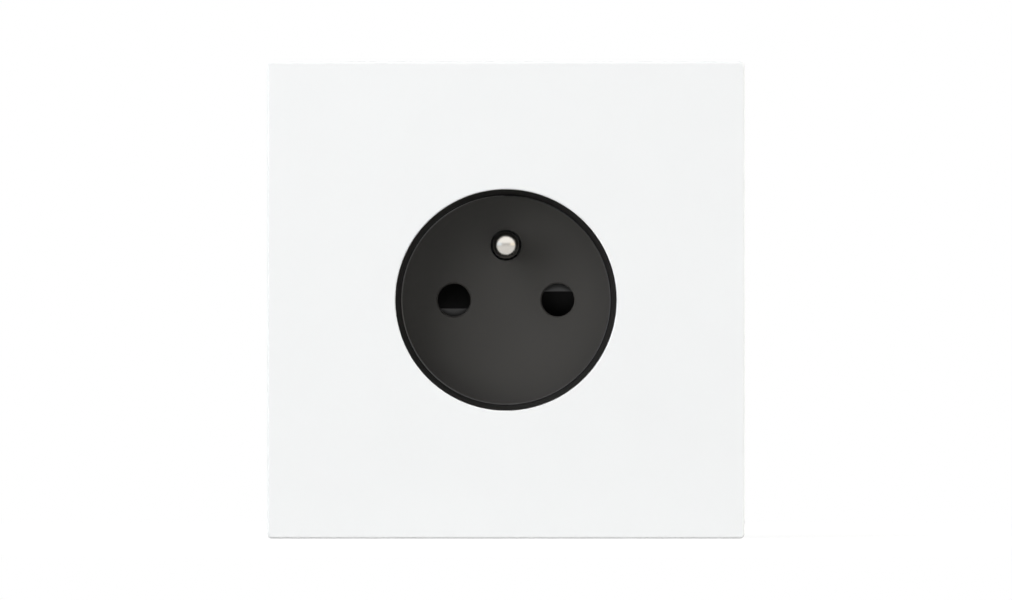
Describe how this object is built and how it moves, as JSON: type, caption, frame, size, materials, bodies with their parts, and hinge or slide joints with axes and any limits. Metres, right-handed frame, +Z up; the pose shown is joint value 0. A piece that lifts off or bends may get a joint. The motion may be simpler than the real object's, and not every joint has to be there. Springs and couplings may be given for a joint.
{
  "type": "wall socket",
  "caption": "Square flush wall socket with a round recessed well, shuttered pin holes, a projecting earth pin, screw terminals and a steel mounting frame.",
  "frame": {"origin": "middle of the wall box screw pattern, on the wall's surface, behind the middle of the plug well", "axes": "+Z up the wall, through the earth pin; -Y out of the wall, to the viewer; +X to the viewer's right"},
  "size_m": [0.087, 0.0378, 0.087],
  "materials": {
    "white_cover": "fine satin moulding",
    "black_well": "matt spark-eroded moulding",
    "black_shutter": "plain moulding",
    "grey_retainer": "plain moulding",
    "grey_base": "glass-filled moulding",
    "grey_back": "glass-filled moulding",
    "nickel_pin": "polished nickel plating on turned brass",
    "brass_strip": "stamped strip",
    "zinc_frame": "zinc plated sheet",
    "zinc_clamp": "zinc plated sheet",
    "zinc_screw": "zinc plated",
    "spring_wire": "drawn spring wire"
  },
  "bodies": {
    "socket": {"cover_plate": "white_cover", "socket_well": "black_well", "shutter_retainer": "grey_retainer", "socket_base": "grey_base", "back_cover": "grey_back", "earth_pin": "nickel_pin", "contact_line": "brass_strip", "contact_neutral": "brass_strip", "earth_strip": "brass_strip", "mounting_frame": "zinc_frame", "clamp_line": "zinc_clamp", "clamp_neutral": "zinc_clamp", "clamp_earth": "zinc_clamp", "terminal_screw_line": "zinc_screw", "terminal_screw_neutral": "zinc_screw", "terminal_screw_earth": "zinc_screw", "retainer_screw_1": "zinc_screw", "retainer_screw_2": "zinc_screw", "frame_screw_1": "zinc_screw", "frame_screw_2": "zinc_screw", "well_screw_1": "zinc_screw", "well_screw_2": "zinc_screw", "back_cover_screw_1": "zinc_screw", "back_cover_screw_2": "zinc_screw", "back_cover_screw_3": "zinc_screw", "back_cover_screw_4": "zinc_screw", "shutter_spring": "spring_wire"},
    "shutter": {"shutter": "black_shutter"}
  },
  "joints": [
    {"name": "shutter_turn", "type": "hinge", "parent": "socket", "child": "shutter", "pos_m": [0, 0.01, 0], "axis": [0, -1, 0], "range_deg": [0, 40], "stiffness_Nm_per_rad": 0.003, "springref_deg": -34.38, "deforming": ["shutter_spring"]}
  ]
}
